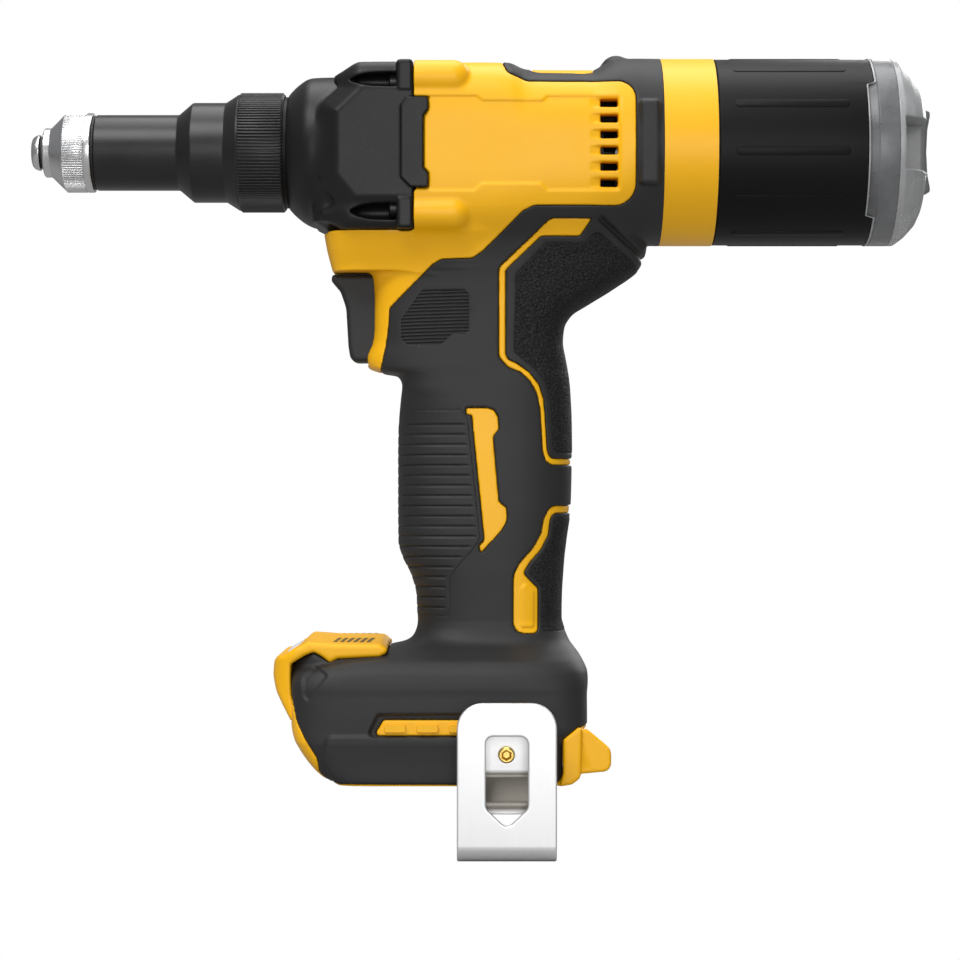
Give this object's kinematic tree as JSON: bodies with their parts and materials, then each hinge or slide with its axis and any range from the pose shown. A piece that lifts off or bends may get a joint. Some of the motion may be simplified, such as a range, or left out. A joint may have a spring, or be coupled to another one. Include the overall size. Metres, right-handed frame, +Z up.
{
  "type": "cordless blind rivet tool",
  "caption": "Cordless blind rivet tool: turned nose, gear case and motor in a two-part shell, rubber grip, trigger, belt hook and a twist-off bottle for spent mandrels.",
  "frame": {"origin": "mouth of the nosepiece bore, on the pulling axis", "axes": "+X from the nose to the bottle, +Z up, +Y across; the nosepiece faces -X"},
  "size_m": [0.2835, 0.0846, 0.2469],
  "materials": {
    "bright_steel": "machined",
    "dark_steel": "machined",
    "black_steel": "black oxide",
    "black_case": "satin black",
    "laminated_steel": "laminated",
    "copper": "enamelled",
    "brass": "machined",
    "yellow_plastic": "satin",
    "black_plastic": "satin",
    "black_rubber": "soft touch",
    "clear_plastic": "clear",
    "lens": "clear",
    "board": "solder mask",
    "red_lead": "smooth",
    "blue_lead": "smooth"
  },
  "bodies": {
    "tool": {"nosepiece": "bright_steel", "nose_o_ring": "black_rubber", "nose_collar": "bright_steel", "collar_seal": "black_rubber", "nose_sleeve": "black_steel", "mandrel_tube": "bright_steel", "thrust_bearing": "bright_steel", "nut_bearing": "bright_steel", "gear_case": "black_case", "gear_case_screws": "black_steel", "ring_gear": "dark_steel", "motor_plate": "dark_steel", "front_bearing": "bright_steel", "rear_bearing": "bright_steel", "rear_plate": "black_plastic", "stator": "laminated_steel", "stator_coils": "copper", "housing_left": "yellow_plastic", "housing_right": "yellow_plastic", "grip_left": "black_rubber", "grip_right": "black_rubber", "housing_screws": "dark_steel", "trigger_spring": "dark_steel", "switch_module": "black_plastic", "switch_wires": "red_lead", "motor_leads": "blue_lead", "control_module": "board", "terminal_block": "black_plastic", "terminal_blades": "brass", "light_housing": "yellow_plastic", "light_lens": "lens", "light_board": "board", "belt_hook": "bright_steel", "belt_hook_screw": "brass", "hook_inserts": "brass", "bottle_mount": "yellow_plastic", "mount_screws": "dark_steel"},
    "head": {"jaw_case": "dark_steel", "draw_spindle": "bright_steel", "jaw_spring": "dark_steel"},
    "jaw_a": {"jaw_1": "dark_steel"},
    "jaw_b": {"jaw_2": "dark_steel"},
    "jaw_c": {"jaw_3": "dark_steel"},
    "pusher": {"jaw_pusher": "bright_steel"},
    "nut": {"ball_nut": "dark_steel", "planet_carrier": "dark_steel", "planet_pins": "bright_steel"},
    "planet_a": {"planet_gear_1": "dark_steel"},
    "planet_b": {"planet_gear_2": "dark_steel"},
    "planet_c": {"planet_gear_3": "dark_steel"},
    "rotor": {"rotor_shaft": "bright_steel", "rotor_core": "laminated_steel", "motor_fan": "black_plastic", "sun_gear": "dark_steel"},
    "trigger": {"trigger": "black_plastic", "switch_plunger": "black_plastic"},
    "bottle": {"bottle": "clear_plastic", "bottle_sleeve": "black_plastic", "bottle_seal": "black_rubber"}
  },
  "joints": [
    {"name": "nut_spin", "type": "hinge", "parent": "tool", "child": "nut", "pos_m": [0.1, 0, 0], "axis": [1, 0, 0], "range_deg": [0, 4320]},
    {"name": "draw_slide", "type": "slide", "parent": "tool", "child": "head", "axis": [1, 0, 0], "range_m": [0, 0.03001]},
    {"name": "rotor_spin", "type": "hinge", "parent": "tool", "child": "rotor", "pos_m": [0.17, 0, 0], "axis": [1, 0, 0], "range_deg": [0, 18200]},
    {"name": "planet_a_spin", "type": "hinge", "parent": "nut", "child": "planet_a", "pos_m": [0.148, 0, 0.01275], "axis": [1, 0, 0], "range_deg": [-13600, 0]},
    {"name": "planet_b_spin", "type": "hinge", "parent": "nut", "child": "planet_b", "pos_m": [0.148, -0.01104, -0.00637], "axis": [1, 0, 0], "range_deg": [-13600, 0]},
    {"name": "planet_c_spin", "type": "hinge", "parent": "nut", "child": "planet_c", "pos_m": [0.148, 0.01104, -0.00637], "axis": [1, 0, 0], "range_deg": [-13600, 0]},
    {"name": "jaw_a_slide", "type": "slide", "parent": "head", "child": "jaw_a", "axis": [0.9816, 0, 0.1908], "range_m": [0, 0.0015], "stiffness_N_per_m": 3000, "springref_m": -0.002},
    {"name": "jaw_b_slide", "type": "slide", "parent": "head", "child": "jaw_b", "axis": [0.9816, -0.1652, -0.0954], "range_m": [0, 0.0015]},
    {"name": "jaw_c_slide", "type": "slide", "parent": "head", "child": "jaw_c", "axis": [0.9816, 0.1652, -0.0954], "range_m": [0, 0.0015]},
    {"name": "pusher_slide", "type": "slide", "parent": "head", "child": "pusher", "axis": [1, 0, 0], "range_m": [0, 0.00147], "deforming": ["jaw_spring"]},
    {"name": "trigger_slide", "type": "slide", "parent": "tool", "child": "trigger", "axis": [1, 0, 0], "range_m": [0, 0.006], "stiffness_N_per_m": 600, "springref_m": -0.005, "deforming": ["trigger_spring"]},
    {"name": "bottle_twist", "type": "hinge", "parent": "tool", "child": "bottle", "pos_m": [0.22, 0, 0], "axis": [1, 0, 0], "range_deg": [0, 35]}
  ],
  "couplings": [
    {"joint": "draw_slide", "follows": "nut_spin", "m_per_rad": 0.00039789},
    {"joint": "rotor_spin", "follows": "nut_spin", "ratio": 4},
    {"joint": "planet_a_spin", "follows": "nut_spin", "ratio": -3},
    {"joint": "planet_b_spin", "follows": "nut_spin", "ratio": -3},
    {"joint": "planet_c_spin", "follows": "nut_spin", "ratio": -3},
    {"joint": "jaw_b_slide", "follows": "jaw_a_slide", "ratio": 1},
    {"joint": "jaw_c_slide", "follows": "jaw_a_slide", "ratio": 1},
    {"joint": "pusher_slide", "follows": "jaw_a_slide", "ratio": 0.98163}
  ]
}
